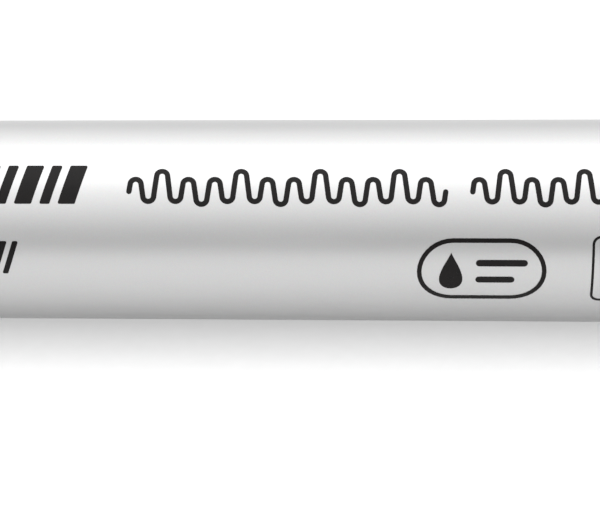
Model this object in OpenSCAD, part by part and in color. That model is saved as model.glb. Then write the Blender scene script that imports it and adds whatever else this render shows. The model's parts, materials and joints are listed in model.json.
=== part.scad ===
// Capped bullet-tip whiteboard marker, lying along X.
// The flat rear face is at the origin and the closed end of the cap points along -X.
// Stations are distances in front of the rear face. Radii are measured from the marker's axis.

/* [Marker] */
// Length from the rear face to the closed end of the cap
overall_length = 140; // [139:1:142]
// Length of the cap
cap_length = 45; // [44:1:46]
// Length of the end plug that shows behind the barrel
plug_length = 11; // [9:1:13]

/* [Barrel] */
// Outer diameter at the rear end of the barrel
barrel_rear_d = 16.3; // [16:0.1:17]
// Outer diameter at the shoulder where the cap stops
barrel_front_d = 15.6; // [15.4:0.1:16]
// Diameter of the neck under the cap, and of the rear end that the cap also fits
neck_d = 14.2; // [14:0.1:14.3]
// Length of the neck in front of the shoulder
neck_length = 8; // [7:0.5:9]
// Thickness of the barrel wall at its rear end
barrel_wall = 1.25; // [1.2:0.05:1.3]

/* [Nib and ink] */
// Diameter of the nib
nib_d = 4.8; // [4.5:0.1:5]
// Length of the nib that shows in front of the nozzle
nib_reach = 7; // [6:0.5:7]
// Diameter of the fibre reservoir
reservoir_d = 11.8; // [11:0.1:11.9]

/* [Cap] */
// Outer diameter of the rim of the cap
cap_rim_d = 16.3; // [16.3:0.1:16.6]
// Outer diameter of the cap at its closed end
cap_end_d = 15.6; // [15.4:0.1:15.9]
// Height of the outer face of the clip above the axis
clip_height = 11.2; // [11:0.1:12]
// Width of the clip where it leaves the cap
clip_width = 6.2; // [5.6:0.1:6.6]

/* [Hidden] */
$fn = 96;

silver = [0.74, 0.75, 0.76];
black = [0.05, 0.05, 0.055];
natural = [0.88, 0.88, 0.86];
ink_soaked = [0.08, 0.08, 0.09];
clear_film = [0.80, 0.84, 0.86];

running_gap = 0.05;             // radial gap of the parts that slide on each other
rest_gap = 0.15;                // gap between the rim of the cap and the shoulder

// Stations
barrel_rear = plug_length;
shoulder = overall_length - cap_length;
barrel_front = shoulder + neck_length;
nozzle_start = barrel_front + 11.6;
nozzle_end = barrel_front + 20;
nib_tip = nozzle_end + nib_reach;
cap_end = overall_length;

// Radii
neck_r = neck_d / 2;
nib_r = nib_d / 2;
nozzle_r = 4.1;
rear_bore_r = barrel_rear_d / 2 - barrel_wall;
front_bore_r = 6.6;
cap_bore_r = 6.7;               // the deep part of the cap, which holds the seal cup
cap_mouth_r = neck_r + 0.2;

// Fits along the axis
plug_skirt = 8;                 // length of the end plug inside the barrel
front_skirt = 6.6;              // length of the front section inside the barrel
reservoir_rear = barrel_rear + plug_skirt + 1;
reservoir_front = barrel_front - 7.6;
nib_rear = reservoir_front - 11.4;

// Seal cup and how the cap holds it
cup_mouth = nozzle_start + 0.9;
cup_flange = 1.0;
cup_inner_end = nib_tip + 5;
cup_outer_r = 5.15;
cup_end = cup_inner_end + 1;
cap_inner_end = cap_end - 1.5;

// Clip
clip_root = cap_end - 6;        // station where the arm flexes
clip_tip = shoulder + 5.5;
clip_round = 0.8;               // radius along the outer edges of the clip
root_width = clip_width + 0.4;
// The marker rests on the rear edge of its barrel, the rim of its cap and one outer edge of the clip.
clip_corner = [root_width / 2 - clip_round, clip_height - clip_round];
clip_lean = atan(clip_corner[0] / clip_corner[1])
          + acos((cap_rim_d / 2 - clip_round) / norm(clip_corner));
clip_angle = 180 - clip_lean;

function arc(centre, radius, from, to, steps = 6) =
    [for (i = [0:steps]) let (a = from + (to - from) * i / steps)
        centre + radius * [cos(a), sin(a)]];

// A low round ridge that stands on a wall of radius base_r
function bead(station, base_r, height, half) =
    [for (a = [180:-30:0]) [station + half * cos(a), base_r + height * sin(a)]];

// A soft S-curve from one [station, radius] to another
function swept(from, to, steps = 12) =
    [for (i = [0:steps]) let (t = i / steps)
        [from[0] + (to[0] - from[0]) * t, to[1] + (from[1] - to[1]) * (1 + cos(180 * t)) / 2]];

// Turns a closed outline of [station, radius] points about the marker's axis
module turned(outline) {
    rotate([0, -90, 0])
        rotate_extrude()
            polygon([for (p = outline) [p[1], p[0]]]);
}

module around_axis(count, first = 0) {
    for (i = [0:count - 1])
        rotate([first + 360 * i / count, 0, 0])
            children();
}

// A flat rib between two stations and two radii
module rib(from, to, inner, outer, width) {
    translate([-to, -width / 2, inner])
        cube([to - from, width, outer - inner]);
}

module barrel() {
    edge = 0.4;
    rear_r = barrel_rear_d / 2;
    front_r = barrel_front_d / 2;
    rib_count = 6;
    rib_inner = reservoir_d / 2 + 0.25;
    outline = concat(
        [[barrel_rear, rear_bore_r]],
        arc([barrel_rear + edge, rear_r - edge], edge, 180, 90),
        arc([shoulder - edge, front_r - edge], edge, 90, 0),
        [[shoulder, neck_r]],
        bead(shoulder + 3.6, neck_r, 0.14, 0.6),
        [[barrel_front - edge, neck_r],
         [barrel_front, neck_r - edge],
         [barrel_front, front_bore_r],
         [barrel_front - front_skirt - 1, front_bore_r],
         [barrel_rear + plug_skirt + 1, rear_bore_r]]);
    color(silver) {
        turned(outline);
        around_axis(rib_count)
            rib(barrel_rear + plug_skirt + 2, barrel_front - front_skirt - 2,
                rib_inner, rear_bore_r + 0.1, 0.8);
    }
}

module front_section() {
    skirt_rear = barrel_front - front_skirt;
    skirt_bore = 5.4;
    flange_r = neck_r - 0.2;
    flange_end = barrel_front + 1.2;
    chamber_end = nozzle_start - 3.6;
    bore_r = nib_r + 0.5;
    lip = 0.6;
    rib_count = 6;
    outline = concat(
        [[skirt_rear, skirt_bore],
         [skirt_rear, 6.1],
         [skirt_rear + 0.6, front_bore_r - 0.02],
         [barrel_front, front_bore_r - 0.02],
         [barrel_front, flange_r]],
        arc([flange_end - 0.3, flange_r - 0.3], 0.3, 90, 0),
        swept([flange_end, 6.4], [nozzle_start, nozzle_r]),
        arc([nozzle_end - lip, nozzle_r - lip], lip, 90, 0),
        [[nozzle_end, bore_r],
         [chamber_end, bore_r],
         [chamber_end, 3.4],
         [flange_end + 0.3, 5.2]]);
    color(silver) {
        turned(outline);
        around_axis(rib_count)
            rib(chamber_end + 0.2, nozzle_end - 0.4, nib_r + 0.02, bore_r + 0.3, 0.7);
    }
}

module nib() {
    tip_r = 1.05;
    slope = 16.5;               // half angle of the bullet's cone
    ball = nib_tip - tip_r;     // station of the centre of the rounded tip
    cone_start = ball + tip_r * sin(slope) - (nib_r - tip_r * cos(slope)) / tan(slope);
    outline = concat(
        [[nib_rear, 0], [nib_rear, nib_r - 0.3], [nib_rear + 0.5, nib_r], [cone_start, nib_r]],
        arc([ball, 0], tip_r, 90 - slope, 0));
    color(ink_soaked)
        turned(outline);
}

module ink_reservoir() {
    r = reservoir_d / 2 - 0.02;
    pocket_r = nib_r + 0.02;
    pocket_end = nib_rear - 0.2;
    color(ink_soaked)
        turned([[reservoir_rear, 0], [reservoir_rear, r], [reservoir_front, r],
                [reservoir_front, pocket_r], [pocket_end, pocket_r], [pocket_end, 0]]);
}

module reservoir_film() {
    inner = reservoir_d / 2;
    outer = inner + 0.18;
    from = reservoir_rear - 0.3;
    to = reservoir_front + 0.3;
    color(clear_film)
        turned([[from, inner], [from, outer], [to, outer], [to, inner]]);
}

module end_plug() {
    skirt_r = rear_bore_r - 0.1;
    skirt_end = barrel_rear + plug_skirt;
    inside_r = 5.7;
    end_wall = 1.8;
    edge = 0.8;
    groove = [4.9, 5.5];        // inner and outer radius of the ring cut in the rear face
    groove_depth = 0.5;
    outline = concat(
        [[0, 0], [0, groove[0]], [groove_depth, groove[0]], [groove_depth, groove[1]], [0, groove[1]]],
        arc([edge, neck_r - edge], edge, 180, 90),
        [[barrel_rear, neck_r], [barrel_rear, skirt_r]],
        bead(barrel_rear + 2.2, skirt_r, 0.09, 0.5),
        bead(barrel_rear + 4.6, skirt_r, 0.09, 0.5),
        [[skirt_end - 0.6, skirt_r], [skirt_end, skirt_r - 0.5], [skirt_end, inside_r],
         [end_wall, inside_r], [end_wall, 0]]);
    color(black) {
        turned(outline);
        // Two crossed plates stop the reservoir from sliding back.
        around_axis(4)
            rib(end_wall - 0.2, reservoir_rear - 0.4, 0, inside_r - 0.4, 1);
        around_axis(4)
            rib(end_wall - 0.2, skirt_end - 1, inside_r - 0.5, inside_r + 0.1, 1);
    }
}

// Side view of the clip above the axis, as [x, height] points, cut to the clip's rounded cross-section
module clip_solid(side, width) {
    crown = [for (a = [0:15:90]) [clip_corner_y(width) + clip_round * cos(a),
                                  clip_height - clip_round + clip_round * sin(a)]];
    intersection() {
        rotate([90, 0, 0])
            linear_extrude(width, center = true)
                polygon(side);
        rotate([90, 0, -90])
            linear_extrude(overall_length)
                polygon(concat(crown, [for (i = [len(crown) - 1:-1:0]) [-crown[i][0], crown[i][1]]],
                               [[-width / 2, 0], [width / 2, 0]]));
    }
}

function clip_corner_y(width) = width / 2 - clip_round;

module clip_root_block() {
    back_round = 2.2;
    bury = 6.6;                 // height at which the block runs into the end of the cap
    rear_edge = arc([-(cap_end - 0.3 - back_round), clip_height - back_round], back_round, 180, 90);
    clip_solid(concat([[-clip_root, bury], [-(cap_end - 0.3), bury]], rear_edge,
                      [[-clip_root, clip_height]]), root_width);
}

module cap_shell() {
    rim_edge = 0.3;
    end_edge = 1.4;
    rim_r = cap_rim_d / 2;
    end_r = cap_end_d / 2;
    rim = shoulder + rest_gap;
    band = shoulder + 3.4;      // the rim band ends here in a fine step
    outline = concat(
        [[rim, cap_mouth_r + 0.3]],
        arc([rim + rim_edge, rim_r - rim_edge], rim_edge, 180, 90),
        [[band, rim_r], [band + 0.2, rim_r - 0.2]],
        arc([cap_end - end_edge, end_r - end_edge], end_edge, 90, 0, 8),
        [[cap_end, 0],
         [cap_inner_end, 0],
         [cap_inner_end, cap_bore_r],
         [cup_mouth - rest_gap, cap_bore_r],
         // A ring that keeps the flange of the seal cup in the cap
         [cup_mouth - rest_gap, cap_bore_r - 0.3],
         [cup_mouth - 0.6, cap_bore_r - 0.3],
         [cup_mouth - 1, cap_bore_r],
         [barrel_front + 3.2, cap_bore_r],
         [barrel_front + 2.4, cap_mouth_r],
         [rim + 0.3, cap_mouth_r]]);
    rib_count = 8;
    vent_count = 4;
    vent_r = 0.8;
    vent_ring_r = 5.9;
    color(black) {
        difference() {
            union() {
                turned(outline);
                difference() {
                    rotate([clip_angle, 0, 0])
                        clip_root_block();
                    // The block stops at the outside of the cap.
                    turned([[clip_root - 1, 0], [clip_root - 1, end_r - 0.5],
                            [cap_end - 1, end_r - 0.5], [cap_end - 1, 0]]);
                }
            }
            // Air holes in the closed end, between the ribs
            around_axis(vent_count, 360 / rib_count / 2)
                translate([-cap_end - 1, 0, vent_ring_r])
                    rotate([0, 90, 0])
                        cylinder(h = 3, r = vent_r);
        }
        around_axis(rib_count)
            rib(cup_mouth + cup_flange + rest_gap, cap_inner_end + 0.2, cup_outer_r + 0.1,
                cap_bore_r + 0.2, 0.8);
    }
}

module seal_cup() {
    seal_r = nozzle_r + running_gap;
    inner_r = 4.4;
    flange_r = cap_bore_r - 0.1;
    lip_end = cup_mouth + 4.5;
    outline = concat(
        [[cup_mouth, seal_r + 0.4],
         [cup_mouth, flange_r],
         [cup_mouth + cup_flange, flange_r],
         [cup_mouth + cup_flange, cup_outer_r]],
        arc([cup_end - 0.6, cup_outer_r - 0.6], 0.6, 90, 0),
        [[cup_end, 0],
         [cup_inner_end, 0],
         [cup_inner_end, inner_r],
         [lip_end + 0.3, inner_r],
         [lip_end, seal_r],
         [cup_mouth + 1.2, seal_r]]);
    color(natural)
        turned(outline);
}

module clip_arm() {
    root_inner = clip_height - 1.6;
    tip_outer = clip_height - 0.3;
    tip_inner = clip_height - 1.8;
    bump = 8.35;                // height of the underside of the gripping bump
    tip_width = 5.2;
    side = concat(
        [[-clip_root, clip_height], [-clip_root, root_inner],
         [-(clip_tip + 4.6), tip_inner]],
        [for (a = [30:30:150]) [-(clip_tip + 2.4) - 1.6 * cos(a), tip_inner - (tip_inner - bump) * sin(a)]],
        arc([-(clip_tip + 0.7), tip_outer - 0.7], 0.7, -90, 90));
    plan = concat(
        [[-clip_root, -clip_width / 2], [-clip_root, clip_width / 2]],
        arc([-(clip_tip + tip_width / 2), 0], tip_width / 2, 90, -90, 12));
    color(black)
        rotate([clip_angle, 0, 0])
            intersection() {
                clip_solid(side, clip_width);
                linear_extrude(2 * clip_height)
                    polygon(plan);
            }
}

barrel();
front_section();
nib();
ink_reservoir();
reservoir_film();
end_plug();
cap_shell();
seal_cup();
clip_arm();
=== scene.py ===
import json
import math

import bmesh
import bpy
from mathutils import Matrix, Vector, noise

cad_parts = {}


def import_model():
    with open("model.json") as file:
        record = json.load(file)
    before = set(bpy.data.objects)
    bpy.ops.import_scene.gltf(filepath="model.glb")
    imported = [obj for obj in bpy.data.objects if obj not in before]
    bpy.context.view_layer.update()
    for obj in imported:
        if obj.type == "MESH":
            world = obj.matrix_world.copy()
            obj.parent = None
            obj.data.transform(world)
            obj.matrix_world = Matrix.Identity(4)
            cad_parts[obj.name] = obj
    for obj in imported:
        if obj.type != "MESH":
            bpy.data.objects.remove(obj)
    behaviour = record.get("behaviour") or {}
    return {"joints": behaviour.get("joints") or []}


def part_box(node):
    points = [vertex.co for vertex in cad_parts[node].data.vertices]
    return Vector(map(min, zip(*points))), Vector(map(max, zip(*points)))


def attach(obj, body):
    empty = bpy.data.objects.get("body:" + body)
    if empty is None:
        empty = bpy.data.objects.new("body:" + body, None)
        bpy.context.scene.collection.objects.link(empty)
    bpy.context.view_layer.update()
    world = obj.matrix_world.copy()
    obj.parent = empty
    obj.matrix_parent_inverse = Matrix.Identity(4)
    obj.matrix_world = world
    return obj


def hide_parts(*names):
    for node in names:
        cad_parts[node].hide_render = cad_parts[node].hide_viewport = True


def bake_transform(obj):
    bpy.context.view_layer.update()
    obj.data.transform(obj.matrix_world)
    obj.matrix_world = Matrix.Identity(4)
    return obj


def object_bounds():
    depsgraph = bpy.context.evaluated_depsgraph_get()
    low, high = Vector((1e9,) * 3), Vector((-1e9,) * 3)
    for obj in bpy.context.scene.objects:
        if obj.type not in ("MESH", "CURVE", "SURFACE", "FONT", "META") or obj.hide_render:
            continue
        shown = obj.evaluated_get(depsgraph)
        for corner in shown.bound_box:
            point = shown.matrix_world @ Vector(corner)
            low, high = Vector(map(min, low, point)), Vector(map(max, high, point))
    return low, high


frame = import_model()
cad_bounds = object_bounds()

# A capped whiteboard marker that lies along X with its flat rear face at the origin.
# Outlines and the print are in millimetres: a station is a distance in front of the rear face, and
# a radius is measured from the marker's axis. to_object() turns them into metres. Materials, the
# clip's bend, the floor, the lights and the camera are in metres.
MM = 0.001
SHARP = math.radians(40)        # edges turned by more than this stay sharp
SLIVER = 3e-7                   # metres, the shortest edge that a cut piece keeps


# ---------------------------------------------------------------- sizes, from the frame

def stations(node):
    """The rear and front stations of a CAD node."""
    low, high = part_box(node)
    return -high.x / MM, -low.x / MM


def outer_radius(node):
    """The largest radius of a round CAD node."""
    low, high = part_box(node)
    return (high.y - low.y) / 2 / MM


barrel_rear, barrel_front = stations("barrel")
nozzle_end = stations("front_section")[1]
nib_rear, nib_tip = stations("nib")
cap_rim, cap_end = stations("cap_shell")
cup_mouth, cup_end = stations("seal_cup")
clip_tip, clip_root = stations("clip_arm")

barrel_rear_r = outer_radius("barrel")
nib_r = outer_radius("nib")
rest_gap = 0.15                 # room between pieces that stop against each other
shoulder = cap_rim - rest_gap   # the rim of the cap stops just short of the barrel's shoulder
barrel_front_r = 7.8
neck_r = 7.1                    # the neck and the end plug, which both fit the mouth of the cap
barrel_bore_r = (6.9, 6.6)      # at the rear and at the front
plug_skirt = 8                  # length of the end plug inside the barrel
front_skirt = 6.6               # length of the front section inside the barrel
nib_hold = 0.02                 # room between the nib and what holds it
nozzle_start = nozzle_end - 8.4
nozzle_r = 4.1
cap_rim_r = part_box("cap_shell")[1].y / MM
cap_end_r = 7.8
cap_bore_r = 6.7
cap_mouth_r = 7.3
cup_flange = 1                  # thickness of the seal cup's flange
cap_edge = 1.4                  # rounding of the cap's closed end
clip_height = 11.2
clip_round = 0.8                # rounding of the clip's outer edges
clip_inner_round = 0.3          # rounding of the edges on its underside
clip_half_width = 3.1
root_half_width = 3.3

clip_hinge = next(joint for joint in frame["joints"] if joint["name"] == "clip_flex")["pos_m"]
clip_angle = math.atan2(-clip_hinge[1], clip_hinge[2])


# ---------------------------------------------------------------- outlines

def rounded(corners, closed=True, fineness=math.radians(11)):
    """The outline through corners of (station, radius) or (station, radius, rounding)."""
    path = []
    last = len(corners) - 1
    for i, corner in enumerate(corners):
        here = Vector(corner[:2])
        is_end = not closed and i in (0, last)
        if len(corner) == 2 or is_end:
            path.append(here)
            continue
        rounding = corner[2]
        back = (Vector(corners[i - 1][:2]) - here).normalized()
        ahead = (Vector(corners[(i + 1) % len(corners)][:2]) - here).normalized()
        half = back.angle(ahead) / 2
        centre = here + (back + ahead).normalized() * rounding / math.sin(half)
        start = here + back * rounding / math.tan(half) - centre
        end = here + ahead * rounding / math.tan(half) - centre
        turn = math.pi - 2 * half
        steps = max(2, math.ceil(turn / fineness))
        for k in range(steps + 1):
            t = k / steps
            path.append(centre + (start * math.sin((1 - t) * turn) + end * math.sin(t * turn))
                        / math.sin(turn))
    return path


def bead(station, radius, height, half, steps=10):
    """Points of a low round ridge on a wall of that radius, from rear to front."""
    turns = [math.pi * (1 - k / steps) for k in range(steps + 1)]
    return [(station + half * math.cos(a), radius + height * math.sin(a)) for a in turns]


def swept(start, end, steps=24):
    """A soft S-curve from one (station, radius) to another."""
    points = []
    for k in range(steps + 1):
        t = k / steps
        ease = (1 + math.cos(math.pi * t)) / 2
        points.append((start[0] + (end[0] - start[0]) * t, end[1] + (start[1] - end[1]) * ease))
    return points


# ---------------------------------------------------------------- meshes

def to_object(bm, name):
    """Turns a mesh in millimetres into a smooth-shaded object in metres."""
    bmesh.ops.recalc_face_normals(bm, faces=bm.faces)
    bmesh.ops.scale(bm, vec=(MM, MM, MM), verts=bm.verts)
    mesh = bpy.data.meshes.new(name)
    bm.to_mesh(mesh)
    bm.free()
    mesh.shade_smooth()
    mesh.set_sharp_from_angle(angle=SHARP)
    piece = bpy.data.objects.new(name, mesh)
    bpy.context.scene.collection.objects.link(piece)
    return piece


def turned(path, closed=True, segments=192):
    """A mesh made by turning an outline of (station, radius) about the marker's axis."""
    bm = bmesh.new()
    rings = []
    for station, radius in path:
        if radius < 1e-6:
            rings.append([bm.verts.new((-station, 0, 0))])
            continue
        turns = [2 * math.pi * k / segments for k in range(segments)]
        rings.append([bm.verts.new((-station, radius * math.cos(a), radius * math.sin(a))) for a in turns])
    pairs = list(zip(rings, rings[1:]))
    if closed:
        pairs.append((rings[-1], rings[0]))
    for one, other in pairs:
        if len(one) == 1 and len(other) == 1:
            continue
        for k in range(segments):
            n = (k + 1) % segments
            if len(one) == 1:
                bm.faces.new((one[0], other[k], other[n]))
            elif len(other) == 1:
                bm.faces.new((one[k], other[0], one[n]))
            else:
                bm.faces.new((one[k], other[k], other[n], one[n]))
    return bm


def block(low, high, turn=0.0):
    """A box between two corners, turned about the marker's axis."""
    bm = bmesh.new()
    bmesh.ops.create_cube(bm, size=1)
    size = Vector(high) - Vector(low)
    middle = (Vector(high) + Vector(low)) / 2
    bmesh.ops.scale(bm, vec=size, verts=bm.verts)
    bmesh.ops.translate(bm, vec=middle, verts=bm.verts)
    bmesh.ops.rotate(bm, cent=(0, 0, 0), matrix=Matrix.Rotation(turn, 3, "X"), verts=bm.verts)
    return bm


def rib(start, end, inner, outer, width, turn):
    """A flat rib between two stations and two radii."""
    return block((-end, -width / 2, inner), (-start, width / 2, outer), turn)


def around(count, first=0.0):
    """Angles spaced evenly about the axis."""
    return [first + 2 * math.pi * k / count for k in range(count)]


def without_slivers(mesh):
    """Merges the points that cutting leaves closer together than a sliver."""
    bm = bmesh.new()
    bm.from_mesh(mesh)
    bmesh.ops.remove_doubles(bm, verts=bm.verts, dist=SLIVER)
    bmesh.ops.dissolve_degenerate(bm, dist=SLIVER, edges=bm.edges)
    bm.to_mesh(mesh)
    bm.free()


def put_in_order(bm):
    """Sorts the points, edges and faces by place, because cutting leaves them in no fixed order."""
    for rank, vert in enumerate(sorted(bm.verts, key=lambda vert: vert.co[:])):
        vert.index = rank
    bm.verts.sort()
    for parts in (bm.edges, bm.faces):
        ranked = sorted(parts, key=lambda part: sorted(vert.index for vert in part.verts))
        for rank, part in enumerate(ranked):
            part.index = rank
        parts.sort()


def combined(name, body, added=(), cut=()):
    """One solid object: the body with the added meshes joined to it and the cut ones removed."""
    piece = to_object(body, name)
    for operation, tools in (("UNION", added), ("DIFFERENCE", cut)):
        for number, tool in enumerate(tools):
            cutter = to_object(tool, f"{name}_tool_{number}")
            step = piece.modifiers.new("shape", "BOOLEAN")
            step.operation = operation
            step.solver = "EXACT"
            step.object = cutter
            shaped = bpy.data.meshes.new_from_object(
                piece.evaluated_get(bpy.context.evaluated_depsgraph_get()))
            piece.modifiers.clear()
            piece.data = shaped
            bpy.data.objects.remove(cutter)
    without_slivers(piece.data)
    piece.data.name = name
    piece.data.shade_smooth()
    piece.data.set_sharp_from_angle(angle=SHARP)
    return piece


def even_shading(piece):
    """Keeps flat faces flat next to their rounded edges."""
    weights = piece.modifiers.new("even_shading", "WEIGHTED_NORMAL")
    weights.keep_sharp = True
    return piece


# ---------------------------------------------------------------- materials

class Shader:
    """A principled material that procedural nodes feed. Noise scales are in features per metre."""

    def __init__(self, name, **values):
        self.material = bpy.data.materials.new(name)
        self.material.use_nodes = True
        self.tree = self.material.node_tree
        self.bsdf = self.tree.nodes["Principled BSDF"]
        for socket, value in values.items():
            self.bsdf.inputs[socket.replace("_", " ")].default_value = value
        coordinates = self.tree.nodes.new("ShaderNodeTexCoord")
        self.position = coordinates.outputs["Object"]

    def node(self, kind, **settings):
        node = self.tree.nodes.new("ShaderNode" + kind)
        for key, value in settings.items():
            setattr(node, key, value)
        return node

    def link(self, output, node_input):
        self.tree.links.new(output, node_input)

    def stretched(self, scale):
        """Object coordinates, scaled along each axis."""
        mapping = self.node("Mapping")
        mapping.inputs["Scale"].default_value = scale
        self.link(self.position, mapping.inputs["Vector"])
        return mapping.outputs["Vector"]

    def noise(self, scale, detail=2.0, roughness=0.5, stretch=(1, 1, 1)):
        texture = self.node("TexNoise")
        texture.inputs["Scale"].default_value = scale
        texture.inputs["Detail"].default_value = detail
        texture.inputs["Roughness"].default_value = roughness
        self.link(self.stretched(stretch), texture.inputs["Vector"])
        return texture.outputs["Fac"]

    def cells(self, scale):
        texture = self.node("TexVoronoi")
        texture.inputs["Scale"].default_value = scale
        self.link(self.position, texture.inputs["Vector"])
        return texture.outputs["Color"]

    def remapped(self, value, low, high, start=0.3, end=0.7):
        """A value between start and end, spread over low to high."""
        spread = self.node("MapRange")
        spread.inputs["From Min"].default_value = start
        spread.inputs["From Max"].default_value = end
        spread.inputs["To Min"].default_value = low
        spread.inputs["To Max"].default_value = high
        self.link(value, spread.inputs["Value"])
        return spread.outputs["Result"]

    def blended(self, value, dark, light, start=0.3, end=0.7):
        """A colour between two others."""
        ramp = self.node("ValToRGB")
        ramp.color_ramp.elements[0].position = start
        ramp.color_ramp.elements[0].color = (*dark, 1)
        ramp.color_ramp.elements[1].position = end
        ramp.color_ramp.elements[1].color = (*light, 1)
        self.link(value, ramp.inputs["Fac"])
        return ramp.outputs["Color"]

    def bump(self, value, depth, under=None):
        """A bump whose full height is depth metres, over another bump."""
        bump = self.node("Bump")
        bump.inputs["Distance"].default_value = depth
        bump.inputs["Strength"].default_value = 1.0
        self.link(value, bump.inputs["Height"])
        if under is not None:
            self.link(under, bump.inputs["Normal"])
        return bump.outputs["Normal"]

    def colour(self, output):
        self.link(output, self.bsdf.inputs["Base Color"])

    def finish(self, roughness=None, normal=None):
        if roughness is not None:
            self.link(roughness, self.bsdf.inputs["Roughness"])
        if normal is not None:
            self.link(normal, self.bsdf.inputs["Normal"])
        return self.material


def pearl_silver(name, tone, roughness):
    """Moulded plastic with fine silver flakes that have drawn out along the barrel."""
    shader = Shader(name, Metallic=1.0, Specular_Tint=(0.78, 0.78, 0.78, 1))
    flakes = shader.cells(26000)
    flow = shader.noise(420, detail=4, stretch=(0.12, 1, 1))
    mould = shader.noise(9000, detail=2)
    base = shader.blended(flow, [c * 0.975 for c in tone], tone)
    speckle = shader.node("Mix", data_type="RGBA", blend_type="OVERLAY")
    speckle.inputs["Factor"].default_value = 0.05
    shader.link(base, speckle.inputs["A"])
    shader.link(flakes, speckle.inputs["B"])
    shader.colour(speckle.outputs["Result"])
    return shader.finish(shader.remapped(flow, roughness - 0.02, roughness + 0.02),
                         shader.bump(mould, 0.0000012))


def moulded_black(name, roughness):
    """Black polypropylene: a fine satin grain from its mould, and faint rub marks along it."""
    shader = Shader(name, Specular_IOR_Level=0.4)
    patches = shader.noise(160, detail=3)
    grain = shader.noise(7000, detail=3, roughness=0.6)
    rubs = shader.noise(1100, detail=4, roughness=0.7, stretch=(0.05, 1, 1))
    shader.colour(shader.blended(patches, (0.0045, 0.0045, 0.0048), (0.0075, 0.0075, 0.008)))
    rubbed = shader.remapped(rubs, -0.03, 0.05, start=0.35, end=0.75)
    uneven = shader.node("Math", operation="ADD")
    shader.link(shader.remapped(patches, roughness - 0.03, roughness + 0.03), uneven.inputs[0])
    shader.link(rubbed, uneven.inputs[1])
    fine = shader.bump(grain, 0.0000035)
    return shader.finish(uneven.outputs["Value"], shader.bump(rubs, 0.000003, fine))


def printed_ink(name):
    """Dense screen-printed black ink with a faint sheen, brown where it is thin."""
    shader = Shader(name, Specular_IOR_Level=0.15)
    thickness = shader.noise(1500, detail=3)
    shader.colour(shader.blended(thickness, (0.0015, 0.0012, 0.0012), (0.0045, 0.0032, 0.0030)))
    return shader.finish(shader.remapped(thickness, 0.24, 0.32), shader.bump(thickness, 0.000003))


def soaked_fibre(name, tone, scale):
    """Bundled fibres that run along the marker, dark with ink."""
    shader = Shader(name, Specular_IOR_Level=0.35)
    strands = shader.noise(scale, detail=5, roughness=0.7, stretch=(0.06, 1, 1))
    fuzz = shader.noise(scale * 1.6, detail=3)
    shader.colour(shader.blended(strands, [c * 0.55 for c in tone], [c * 1.7 for c in tone]))
    coarse = shader.bump(strands, 0.00003)
    return shader.finish(shader.remapped(fuzz, 0.72, 0.95), shader.bump(fuzz, 0.00002, coarse))


def clear_film(name):
    """Thin clear film with faint wrinkles, wrapped round the reservoir."""
    shader = Shader(name, Transmission_Weight=0.85, IOR=1.45, Alpha=0.45)
    wrinkles = shader.noise(500, detail=3, stretch=(0.2, 1, 1))
    shader.colour(shader.blended(wrinkles, (0.80, 0.84, 0.86), (0.88, 0.91, 0.92)))
    return shader.finish(shader.remapped(wrinkles, 0.10, 0.2), shader.bump(wrinkles, 0.00002))


def natural_plastic(name):
    """Milky polyethylene with no pigment."""
    shader = Shader(name, Specular_IOR_Level=0.45, Subsurface_Weight=0.35, Subsurface_Scale=0.0012)
    shader.bsdf.inputs["Subsurface Radius"].default_value = (1.0, 0.9, 0.75)
    cloud = shader.noise(300, detail=3)
    shader.colour(shader.blended(cloud, (0.74, 0.73, 0.68), (0.82, 0.81, 0.77)))
    texture = shader.noise(6000, detail=2)
    return shader.finish(shader.remapped(cloud, 0.42, 0.52), shader.bump(texture, 0.000004))


barrel_silver = pearl_silver("pearl_silver_barrel", (0.485, 0.485, 0.485), 0.35)
nozzle_silver = pearl_silver("pearl_silver_nozzle", (0.475, 0.475, 0.475), 0.38)
cap_black = moulded_black("satin_black_cap", 0.25)
plug_black = moulded_black("satin_black_plug", 0.28)
print_black = printed_ink("glossy_ink")
nib_fibre = soaked_fibre("bonded_nib", (0.020, 0.020, 0.022), 5200)
reservoir_fibre = soaked_fibre("bonded_reservoir", (0.030, 0.030, 0.034), 2600)
film_clear = clear_film("thin_film")
cup_natural = natural_plastic("natural_cup")


def dress(piece, material, node):
    """Gives a piece its material, in place of a CAD node, which it hides."""
    piece.data.materials.clear()
    piece.data.materials.append(material)
    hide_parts(node)


# ---------------------------------------------------------------- barrel

def barrel():
    """The tapered tube, whose neck takes the cap. Six ribs inside it hold the reservoir."""
    seat_room = 1               # length of full bore beyond each piece that is pressed in
    plug_seat = barrel_rear + (plug_skirt + seat_room)
    nose_seat = barrel_front - (front_skirt + seat_room)
    rear_bore, front_bore = barrel_bore_r
    rib_inner = 6.15
    outline = rounded([
        (barrel_rear, rear_bore, 0.15),
        (barrel_rear, barrel_rear_r, 0.4),
        (shoulder, barrel_front_r, 0.3),
        (shoulder, neck_r, 0.12)]
        + bead(shoulder + 3.6, neck_r, 0.14, 0.6)
        + [(barrel_front, neck_r, 0.4),
           (barrel_front, front_bore, 0.1),
           (nose_seat, front_bore),
           (plug_seat, rear_bore)])
    ribs = [rib(plug_seat + 1, nose_seat - 1, rib_inner, rear_bore + 0.1, 0.8, turn)
            for turn in around(6)]
    return combined("barrel_tube", turned(outline), added=ribs)


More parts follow.
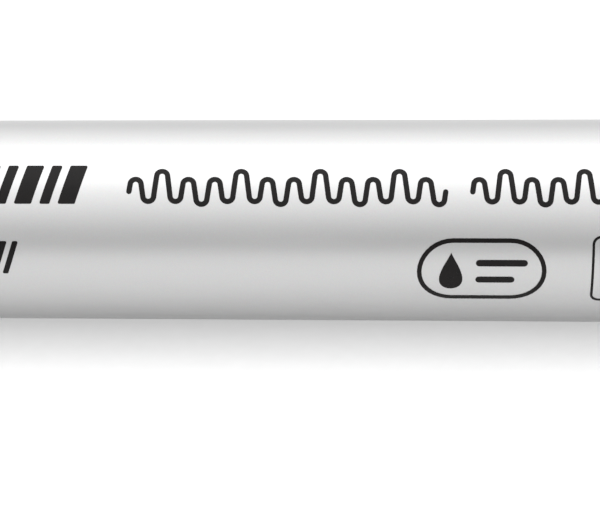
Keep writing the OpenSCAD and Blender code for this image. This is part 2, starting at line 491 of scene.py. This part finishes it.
def nose():
    """The tapered front section, which holds the nib in six ribs."""
    skirt_rear = barrel_front - front_skirt
    skirt_r = barrel_bore_r[1] - 0.02
    flange_r = neck_r - 0.2
    flange_end = barrel_front + 1.2
    chamber_end = nozzle_start - 3.6
    bore_r = nib_r + 0.5
    outline = rounded([
        (skirt_rear, 5.4, 0.1),
        (skirt_rear, 6.1, 0.1),
        (skirt_rear + 0.6, skirt_r, 0.2),
        (barrel_front, skirt_r),
        (barrel_front, flange_r, 0.1),
        (flange_end, flange_r, 0.28)]
        + swept((flange_end, 6.4), (nozzle_start, nozzle_r))
        + [(nozzle_end, nozzle_r, 0.6),
           (nozzle_end, bore_r, 0.12),
           (chamber_end, bore_r),
           (chamber_end, 3.4),
           (flange_end + 0.3, 5.2)])
    ribs = [rib(chamber_end + 0.2, nozzle_end - 0.4, nib_r + nib_hold, bore_r + 0.3, 0.7, turn)
            for turn in around(6)]
    return combined("nozzle", turned(outline), added=ribs)


# ---------------------------------------------------------------- nib and ink

def felt_nib():
    """A bullet nib. The fibres leave its bare end a little uneven."""
    tip_r = 1.05
    slope = math.radians(16.5)
    ball = nib_tip - tip_r
    cone_start = ball + tip_r * math.sin(slope) - (nib_r - tip_r * math.cos(slope)) / math.tan(slope)
    shank_steps = 8
    cone_steps = 40
    ball_steps = 12
    path = [(nib_rear, 0), (nib_rear, nib_r - 0.3), (nib_rear + 0.3, nib_r), (nozzle_end, nib_r)]
    for k in range(1, shank_steps + 1):
        path.append((nozzle_end + (cone_start - nozzle_end) * k / shank_steps, nib_r))
    cone_end = (ball + tip_r * math.sin(slope), tip_r * math.cos(slope))
    for k in range(1, cone_steps):
        t = k / cone_steps
        path.append((cone_start + (cone_end[0] - cone_start) * t, nib_r + (cone_end[1] - nib_r) * t))
    for k in range(ball_steps + 1):
        angle = (math.pi / 2 - slope) * (1 - k / ball_steps)
        path.append((ball + tip_r * math.cos(angle), tip_r * math.sin(angle)))
    bm = turned(path, closed=False)
    depth = 0.035               # how far the fibres lie below the smooth shape
    for vert in bm.verts:
        bare = min(1.0, max(0.0, (-vert.co.x - nozzle_end - 0.2) / 0.5))
        strands = noise.noise(Vector((vert.co.x * 0.5, vert.co.y * 3.5, vert.co.z * 3.5)))
        clumps = noise.noise(Vector((vert.co.x * 0.9, vert.co.y * 1.2, vert.co.z * 1.2)))
        shrink = bare * depth * (1 + 0.6 * strands + 0.8 * clumps)
        radius = math.hypot(vert.co.y, vert.co.z)
        if radius > shrink:
            vert.co.y *= 1 - shrink / radius
            vert.co.z *= 1 - shrink / radius
    return to_object(bm, "felt_nib")


def reservoir():
    """A rod of bonded fibre with a socket for the rear of the nib."""
    rear, front = stations("ink_reservoir")
    radius = outer_radius("ink_reservoir")
    socket_r = nib_r + nib_hold
    socket_end = nib_rear - 0.2
    outline = rounded([(rear, 0), (rear, radius, 0.25), (front, radius, 0.25), (front, socket_r, 0.1),
                       (socket_end, socket_r), (socket_end, 0)], closed=False)
    return to_object(turned(outline, closed=False), "fibre_reservoir")


def film():
    """The film round the reservoir, open at both ends."""
    rear, front = stations("reservoir_film")
    outer = outer_radius("reservoir_film")
    thickness = 0.18
    inner = outer - thickness
    outline = rounded([(rear, inner), (rear, outer, 0.08), (front, outer, 0.08), (front, inner)])
    return to_object(turned(outline), "reservoir_wrap")


# ---------------------------------------------------------------- end plug

def end_plug():
    """The stepped plug. Crossed plates inside it stop the reservoir from sliding back."""
    plate_end = stations("end_plug")[1]
    skirt_end = plate_end - 0.6
    skirt_r = barrel_bore_r[0] - 0.1
    inside_r = 5.7
    wall_end = 1.8
    groove = (4.9, 5.5)         # inner and outer radius of the ring cut in the rear face
    groove_depth = 0.5
    gate_depth = 0.18           # the mark left in the middle by the mould's gate
    outline = rounded([
        (gate_depth, 0), (gate_depth, 0.75, 0.12), (0, 1.0, 0.1),
        (0, groove[0], 0.12), (groove_depth, groove[0], 0.1),
        (groove_depth, groove[1], 0.1), (0, groove[1], 0.12),
        (0, neck_r, 0.8),
        (barrel_rear, neck_r),
        (barrel_rear, skirt_r)]
        + bead(barrel_rear + 2.2, skirt_r, 0.09, 0.5)
        + bead(barrel_rear + 4.6, skirt_r, 0.09, 0.5)
        + [(skirt_end - 0.6, skirt_r, 0.2), (skirt_end, skirt_r - 0.5, 0.1), (skirt_end, inside_r, 0.1),
           (wall_end, inside_r, 0.4), (wall_end, 0)], closed=False)
    plate_r = inside_r - 0.4
    plates = [rib(wall_end - 0.2, skirt_end + 0.6, -plate_r, plate_r, 1, turn)
              for turn in (0, math.pi / 2)]
    webs = [rib(wall_end - 0.2, skirt_end - 1, plate_r - 0.1, inside_r + 0.1, 0.9, turn)
            for turn in around(4)]
    return combined("stepped_end_plug", turned(outline, closed=False), added=plates + webs)


# ---------------------------------------------------------------- cap

def cap():
    """The cap's shell, with ribs that hold the seal cup and air holes in its closed end."""
    band = cap_rim + 3.25       # the rim band ends here in a fine step
    inner_end = cap_end - 1.5
    recess_r = 4.5
    recess_depth = 0.35
    gate_height = 0.13          # the mark left in the recess by the mould's gate
    recess_floor = cap_end - recess_depth
    gate_top = recess_floor + gate_height
    keeper = cup_mouth - rest_gap
    keeper_r = cap_bore_r - 0.3     # the ring that keeps the seal cup in the cap
    outline = rounded([
        (cap_rim, cap_mouth_r + 0.3, 0.12),
        (cap_rim, cap_rim_r, 0.3),
        (band, cap_rim_r, 0.08),
        (band + 0.2, cap_rim_r - 0.2, 0.08),
        (cap_end, cap_end_r, cap_edge),
        (cap_end, recess_r + 0.1, 0.12),
        (recess_floor, recess_r - 0.1, 0.15),
        (recess_floor, 0.9, 0.1),
        (gate_top, 0.75, 0.08),
        (gate_top, 0),
        (inner_end, 0),
        (inner_end, cap_bore_r, 0.5),
        (keeper, cap_bore_r),
        (keeper, keeper_r, 0.08),
        (keeper - 0.45, keeper_r, 0.08),
        (keeper - 0.85, cap_bore_r, 0.1),
        (barrel_front + 3.2, cap_bore_r, 0.2),
        (barrel_front + 2.4, cap_mouth_r, 0.2),
        (cap_rim + 0.3, cap_mouth_r, 0.1)])
    rib_count = 8
    rib_start = cup_mouth + cup_flange + rest_gap
    rib_inner = 5.25
    ribs = [rib(rib_start, inner_end + 0.2, rib_inner, cap_bore_r + 0.2, 0.8, turn)
            for turn in around(rib_count)]
    vent_r = 0.8
    countersink_r = 1.05
    vent_ring_r = 5.9
    vent_start = inner_end - 0.25
    vent_end = cap_end + 0.1
    vents = []
    for turn in around(4, first=math.pi / rib_count):
        vent = turned([(vent_start, 0), (vent_start, vent_r), (cap_end - 0.15, vent_r),
                       (vent_end, countersink_r), (vent_end, 0)], closed=False, segments=40)
        bmesh.ops.translate(vent, vec=(0, 0, vent_ring_r), verts=vent.verts)
        bmesh.ops.rotate(vent, cent=(0, 0, 0), matrix=Matrix.Rotation(turn, 3, "X"), verts=vent.verts)
        vents.append(vent)
    return combined("cap_body", turned(outline), added=ribs, cut=vents)


def inner_cup():
    """The soft cup inside the cap that seals on the nozzle."""
    running_gap = 0.05          # between the lip and the nozzle
    seal_r = nozzle_r + running_gap
    flange_end = cup_mouth + cup_flange
    floor_start = cup_end - 1
    inner_r = 4.4
    outer_r = 5.15
    flange_r = outer_radius("seal_cup")
    lip_end = cup_mouth + 4.5
    outline = rounded([
        (cup_mouth, seal_r + 0.4, 0.1),
        (cup_mouth, flange_r, 0.2),
        (flange_end, flange_r, 0.2),
        (flange_end, outer_r, 0.15),
        (cup_end, outer_r, 0.6),
        (cup_end, 0),
        (floor_start, 0),
        (floor_start, inner_r, 0.5),
        (lip_end + 0.3, inner_r, 0.1),
        (lip_end, seal_r, 0.1),
        (cup_mouth + 1.2, seal_r, 0.3)])
    return to_object(turned(outline), "inner_seal_cup")


# ---------------------------------------------------------------- clip

def clip_ring(station, half_width, top, bottom, follow=None):
    """Points round the clip's cross-section at one station.
    Where follow is a radius, the underside lies on that circle, sunk in the wall of the cap."""
    crown = 0.06                # how far the outside bulges along its middle
    upper = min(clip_round, 0.9 * half_width, 0.48 * (top - bottom))
    lower = min(clip_inner_round, 0.5 * half_width, 0.48 * (top - bottom))
    points = []
    flats = 12
    for k in range(flats + 1):
        across = (half_width - lower) * (2 * k / flats - 1)
        height = bottom if follow is None else math.sqrt(follow ** 2 - across ** 2)
        points.append((across, height))
    base = points[-1][1]
    for k in range(1, 5):
        a = math.pi / 2 * k / 5
        points.append((half_width - lower + lower * math.sin(a), base + lower * (1 - math.cos(a))))
    for k in range(9):
        a = math.pi / 2 * k / 8
        points.append((half_width - upper + upper * math.cos(a), top - upper + upper * math.sin(a)))
    for k in range(1, flats):
        across = (half_width - upper) * (1 - 2 * k / flats)
        points.append((across, top + crown * (1 - (across / half_width) ** 2)))
    for k in range(9):
        a = math.pi / 2 * (1 + k / 8)
        points.append((-half_width + upper + upper * math.cos(a), top - upper + upper * math.sin(a)))
    for k in range(4, 0, -1):
        a = math.pi / 2 * k / 5
        points.append((-half_width + lower - lower * math.sin(a), base + lower * (1 - math.cos(a))))
    return [(-station, across, height) for across, height in points]


def clip():
    """The clip and the block at its root in one piece, made lying above the axis and then turned."""
    block_end = cap_end - 0.35  # the block stops just short of the cap's end face
    back_round = 2.2
    tip_r = 2.6
    tip_half = 0.7
    fillet = 0.8
    bump_centre, bump_half, bump_depth = clip_tip + 2.4, 1.7, 1.05
    edge = cap_end - cap_edge
    sink = 0.45                 # how far the block reaches into the wall of the cap

    def top(s):
        slope = clip_height - 0.3 * (clip_root - s) / (clip_root - clip_tip)
        height = clip_height if s > clip_root else slope
        if s > block_end - back_round:
            height -= back_round - math.sqrt(max(0.0, back_round ** 2 - (s - block_end + back_round) ** 2))
        nose = clip_tip + tip_half
        if s < nose:
            height -= tip_half - math.sqrt(max(0.0, tip_half ** 2 - (nose - s) ** 2))
        return height

    def bottom(s):
        height = clip_height - 1.8 + 0.2 * (s - clip_tip) / (clip_root - clip_tip)
        if abs(s - bump_centre) < bump_half:
            height -= bump_depth * (1 + math.cos(math.pi * (s - bump_centre) / bump_half)) / 2
        if s > clip_root - fillet:
            height -= fillet - math.sqrt(max(0.0, fillet ** 2 - (s - clip_root + fillet) ** 2))
        nose = clip_tip + tip_half
        if s < nose:
            height += tip_half - math.sqrt(max(0.0, tip_half ** 2 - (nose - s) ** 2))
        return height

    def half_width(s):
        if s > clip_root:
            return root_half_width
        waist = clip_tip + tip_r
        width = tip_r + (clip_half_width - tip_r) * (s - waist) / (clip_root - waist)
        if s > clip_root - fillet:
            width += (root_half_width - clip_half_width) * ((s - clip_root + fillet) / fillet) ** 2
        if s < waist:
            width = math.sqrt(max(0.0, tip_r ** 2 - (waist - s) ** 2))
        return width

    # The stations lie close together round the tip and the bump, and further apart along the arm.
    stations_along = [clip_tip + tip_half * (1 - math.cos(math.pi / 2 * k / 8)) for k in range(1, 9)]
    stations_along += [clip_tip + tip_half + 0.12 * k for k in range(1, 36)]
    arm_start = stations_along[-1]
    arm_end = clip_root - fillet
    stations_along += [arm_start + (arm_end - arm_start) * k / 40 for k in range(1, 41)]
    stations_along += [arm_end + fillet * math.sin(math.pi / 2 * k / 8) for k in range(1, 9)]
    rings = [clip_ring(s, half_width(s), top(s), bottom(s)) for s in stations_along]
    block_stations = [clip_root + 0.02 + (block_end - back_round - clip_root) * k / 12 for k in range(13)]
    block_stations += [block_end - back_round * (1 - math.sin(math.pi / 2 * k / 12)) for k in range(1, 12)]
    for s in block_stations:
        surface = cap_end_r
        if s > edge:
            surface = cap_end_r - cap_edge + math.sqrt(max(0.0, cap_edge ** 2 - (s - edge) ** 2))
        rings.append(clip_ring(s, root_half_width, top(s), 0, follow=surface - sink))
    bm = bmesh.new()
    loops = [[bm.verts.new(point) for point in ring] for ring in rings]
    for one, other in zip(loops, loops[1:]):
        for k in range(len(one)):
            n = (k + 1) % len(one)
            bm.faces.new((one[k], other[k], other[n], one[n]))
    bm.faces.new(loops[0])
    bm.faces.new(list(reversed(loops[-1])))
    bmesh.ops.rotate(bm, cent=(0, 0, 0), matrix=Matrix.Rotation(clip_angle, 3, "X"), verts=bm.verts)
    return to_object(bm, "pocket_clip")


# ---------------------------------------------------------------- print

# The print is laid out flat: X along the marker, and the distance up round the barrel from the
# line that faces the camera. It has no lettering: rows of bars, scribbled lines and two pictograms.
ink_height = 0.03               # how far a mark stands proud of the barrel
ink_depth = 0.02                # how far a mark is sunk in the barrel, so that no gap shows
facing = math.radians(38)       # the height of the line that faces the camera


def barrel_radius(station):
    """The outer radius of the tapered barrel at one station."""
    share = (station - barrel_rear) / (shoulder - barrel_rear)
    return barrel_rear_r + (barrel_front_r - barrel_rear_r) * share


def printed(name, outlines):
    """Wraps flat outlines of (X, distance up) round the barrel as thin closed solids of ink."""
    bm = bmesh.new()
    for outline in outlines:
        bm.faces.new([bm.verts.new((x, up, 0)) for x, up in outline])
    touching = 0.001
    bmesh.ops.remove_doubles(bm, verts=bm.verts, dist=touching / 2)
    # Cuts along the marker let the flat faces bend. The first is placed clear of the marks' corners.
    strip = 0.35
    heights = [vert.co.y for vert in bm.verts]
    cut = min(heights) + 0.37 * strip
    while cut < max(heights):
        bmesh.ops.bisect_plane(bm, geom=bm.verts[:] + bm.edges[:] + bm.faces[:], dist=touching,
                               plane_co=(0, cut, 0), plane_no=(0, 1, 0))
        cut += strip
    bmesh.ops.remove_doubles(bm, verts=bm.verts, dist=touching)
    bmesh.ops.dissolve_degenerate(bm, dist=touching, edges=bm.edges)
    layer = bmesh.ops.extrude_face_region(bm, geom=bm.faces[:], use_keep_orig=True)
    raised = {item for item in layer["geom"] if isinstance(item, bmesh.types.BMVert)}
    for vert in bm.verts:
        x, up = vert.co.xy
        radius = barrel_radius(-x) + (ink_height if vert in raised else -ink_depth)
        turn = facing + up / barrel_rear_r
        vert.co = (x, -radius * math.cos(turn), radius * math.sin(turn))
    put_in_order(bm)
    mark = even_shading(to_object(bm, name))
    mark.data.materials.append(print_black)
    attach(mark, "barrel")


def bars(start, end, low, high, widths, gap, lean=0.3, rounding=0.12):
    """A row of slanted bars, whose widths repeat."""
    outlines = []
    x = start
    number = 0
    while x < end:
        width = widths[number % len(widths)]
        foot = x - lean * (high - low) / 2
        head = x + lean * (high - low) / 2
        outlines.append(rounded([(foot, low, rounding), (foot + width, low, rounding),
                                 (head + width, high, rounding), (head, high, rounding)]))
        x += width + gap
        number += 1
    return outlines


def line(path, width, ends=6):
    """A drawn line with round ends, as a strip of flat faces."""
    path = [Vector(point) for point in path]
    sides = []
    for k, here in enumerate(path):
        along = (path[min(k + 1, len(path) - 1)] - path[max(k - 1, 0)]).normalized()
        across = Vector((-along.y, along.x)) * width / 2
        sides.append((here + across, here - across))
    outlines = [(a[0], a[1], b[1], b[0]) for a, b in zip(sides, sides[1:])]
    for tip, (one, other) in ((path[0], sides[0]), (path[-1], reversed(sides[-1]))):
        start = one - tip
        quarter = Vector((-start.y, start.x))
        turns = [math.pi * k / ends for k in range(1, ends)]
        cap_points = [tip + start * math.cos(a) + quarter * math.sin(a) for a in turns]
        outlines.append([one] + cap_points + [other])
    return outlines


def scribble(start, end, low, high, tall, pitch, width):
    """A line that runs up and down as a hand tries out a marker. Every third peak is taller."""
    rounding = 0.42
    spare = 0.0                     # how far the corners lie beyond the rounded peaks
    for _ in range(8):
        half_angle = math.atan(pitch / 2 / (high - low + 2 * spare))
        spare = rounding / math.sin(half_angle) - rounding - width / 2
    corners = [(start, (low + high) / 2)]
    count = round((end - start) / pitch)
    for k in range(count):
        x = start + pitch * (k + 0.25)
        peak = tall if k % 3 == 1 else high
        corners.append((x, peak + spare, rounding))
        corners.append((x + pitch / 2, low - spare, rounding))
    corners.append((start + pitch * count, (low + high) / 2))
    return line(rounded(corners, closed=False), width)


def frame_line(centre, size, rounding, width):
    """The outline of a rectangle with round corners, as a strip of flat faces."""
    rings = []
    for inset in (0, width):
        half_x = size[0] / 2 - inset
        half_up = size[1] / 2 - inset
        corners = [(centre[0] + sx * half_x, centre[1] + su * half_up, rounding - inset)
                   for sx, su in ((-1, -1), (1, -1), (1, 1), (-1, 1))]
        rings.append(rounded(corners))
    outer, inner = rings
    count = len(outer)
    return [(outer[k], outer[(k + 1) % count], inner[(k + 1) % count], inner[k]) for k in range(count)]


def droplet(centre, width, height, points=40):
    """A drop of ink with its point upwards."""
    outline = []
    for k in range(points):
        a = 2 * math.pi * k / points
        across = width * 0.62 * math.sin(a) * abs(math.sin(a / 2)) ** 1.5
        outline.append((centre[0] + across, centre[1] + height / 2 * math.cos(a)))
    return [outline]


def nib_pictogram(centre, length, height):
    """A bullet nib that points to the left."""
    x, up = centre
    half = height / 2
    rear = x + length / 2
    neck = x - length * 0.08
    tip = x - length / 2
    return [rounded([(rear, up - half, 0.1), (rear, up + half, 0.1), (neck, up + half, 0.3),
                     (tip, up + half * 0.42, 0.3), (tip, up - half * 0.42, 0.3), (neck, up - half, 0.3)])]


def level_line(centre, start, end, up, width):
    """A line along the marker, placed from the centre of a pictogram."""
    return line([(centre[0] + start, centre[1] + up), (centre[0] + end, centre[1] + up)], width)


def marks():
    """The whole print: each mark is one piece."""
    printed("print_bold_bars", bars(start=-83.7, end=-62.3, low=1.13, high=4.40,
                                    widths=(1.35, 0.8), gap=0.62))
    printed("print_small_bars", bars(start=-87.3, end=-67.6, low=-4.68, high=-1.87,
                                     widths=(0.75, 0.45), gap=0.42))
    scribbled = {"low": 0.81, "high": 3.48, "tall": 4.68, "pitch": 2.05, "width": 0.42}
    printed("print_scribble", scribble(start=-58.3, end=-33.6, **scribbled))
    printed("print_short_scribble", scribble(start=-31.6, end=-17.2, **scribbled))
    pill = (-30.85, -4.33)
    printed("print_pill", frame_line(pill, size=(10.1, 5.6), rounding=2.8, width=0.36)
            + droplet((pill[0] - 2.4, pill[1]), width=2.1, height=3.3)
            + level_line(pill, start=-0.2, end=3.3, up=0.75, width=0.55)
            + level_line(pill, start=-0.2, end=2.3, up=-0.75, width=0.55))
    square = (-19.3, -4.3)
    printed("print_square", frame_line(square, size=(6.0, 6.0), rounding=0.7, width=0.2)
            + nib_pictogram((square[0] + 0.1, square[1] + 0.75), length=3.7, height=1.9)
            + level_line(square, start=-1.8, end=1.8, up=-1.55, width=0.45))


# ---------------------------------------------------------------- build

for maker, material, node, body in (
        (barrel, barrel_silver, "barrel", "barrel"),
        (nose, nozzle_silver, "front_section", "barrel"),
        (felt_nib, nib_fibre, "nib", "barrel"),
        (reservoir, reservoir_fibre, "ink_reservoir", "barrel"),
        (film, film_clear, "reservoir_film", "barrel"),
        (end_plug, plug_black, "end_plug", "barrel"),
        (cap, cap_black, "cap_shell", "cap"),
        (inner_cup, cup_natural, "seal_cup", "seal_cup")):
    piece = even_shading(maker())
    dress(piece, material, node)
    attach(piece, body)

flexing_clip = even_shading(clip())
dress(flexing_clip, cap_black, "clip_arm")
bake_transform(flexing_clip)
marks()


# ---------------------------------------------------------------- floor, light and camera

def floor():
    """A white floor at the lowest point of the marker, as wide as any view needs."""
    floor_radius = 6
    bm = bmesh.new()
    bmesh.ops.create_circle(bm, cap_ends=True, segments=96, radius=floor_radius)
    bmesh.ops.translate(bm, vec=(0, 0, cad_bounds[0].z), verts=bm.verts)
    mesh = bpy.data.meshes.new("floor")
    bm.to_mesh(mesh)
    bm.free()
    ground = bpy.data.objects.new("floor", mesh)
    bpy.context.scene.collection.objects.link(ground)
    paper = Shader("floor_white", Roughness=0.85, Specular_IOR_Level=0.2, Emission_Strength=0.36)
    paper.bsdf.inputs["Emission Color"].default_value = (1, 1, 1, 1)
    grain = paper.noise(900, detail=3)
    paper.colour(paper.blended(grain, (0.59, 0.59, 0.59), (0.61, 0.61, 0.61)))
    mesh.materials.append(paper.finish())


def aimed(thing, place, target):
    """Puts a light or camera at one point, looking at another."""
    thing.location = place
    thing.rotation_euler = (Vector(target) - Vector(place)).to_track_quat("-Z", "Y").to_euler()
    return thing


def soft_light(name, place, target, size, power):
    """A rectangular softbox, hidden from the camera."""
    light = bpy.data.lights.new(name, "AREA")
    light.shape = "RECTANGLE"
    light.size, light.size_y = size
    light.energy = power
    lamp = bpy.data.objects.new(name, light)
    bpy.context.scene.collection.objects.link(lamp)
    lamp.visible_camera = False
    return aimed(lamp, place, target)


def world():
    """A light tent, brightest overhead and a little behind the marker, with a white horizon."""
    sky = bpy.data.worlds.new("studio")
    sky.use_nodes = True
    tree = sky.node_tree
    background = tree.nodes["Background"]
    background.inputs["Color"].default_value = (1, 1, 1, 1)
    direction = tree.nodes.new("ShaderNodeTexCoord").outputs["Generated"]

    def sloping(rise, level):
        """A brightness that is level at the horizon and rises along a direction."""
        slope = tree.nodes.new("ShaderNodeVectorMath")
        slope.operation = "DOT_PRODUCT"
        slope.inputs[1].default_value = rise
        tree.links.new(direction, slope.inputs[0])
        total = tree.nodes.new("ShaderNodeMath")
        total.operation = "ADD"
        total.inputs[1].default_value = level
        tree.links.new(slope.outputs["Value"], total.inputs[0])
        return total.outputs["Value"]

    brighter = tree.nodes.new("ShaderNodeMath")
    brighter.operation = "MAXIMUM"
    tent = sloping(rise=(0, 0.35, 1.25), level=0.78)
    horizon = sloping(rise=(0, 0, -4), level=1.15)
    tree.links.new(tent, brighter.inputs[0])
    tree.links.new(horizon, brighter.inputs[1])
    tree.links.new(brighter.outputs["Value"], background.inputs["Strength"])
    bpy.context.scene.world = sky


def camera():
    """A long lens that looks down on the print from the side."""
    elevation = facing
    distance = 0.2665
    roll = math.radians(0.13)
    middle = -0.045             # the point along the marker that is in the middle of the view
    lowered = 3.53              # millimetres from the marker's axis down to the middle of the view
    target = Vector((middle, 0, 0))
    back = Vector((0, -math.cos(elevation), math.sin(elevation)))
    up = Vector((0, math.sin(elevation), math.cos(elevation)))
    target -= up * lowered * MM
    lens = bpy.data.cameras.new("camera")
    lens.lens = 200
    lens.clip_start = 0.01
    viewer = bpy.data.objects.new("camera", lens)
    bpy.context.scene.collection.objects.link(viewer)
    aimed(viewer, target + back * distance, target)
    viewer.rotation_euler.rotate_axis("Z", roll)
    bpy.context.scene.camera = viewer


floor()
soft_light("overhead_softbox", place=(-0.06, 0.12, 0.45), target=(-0.06, 0, 0),
           size=(1.2, 0.45), power=0.9)
world()
camera()
bpy.context.scene.view_settings.view_transform = "Standard"
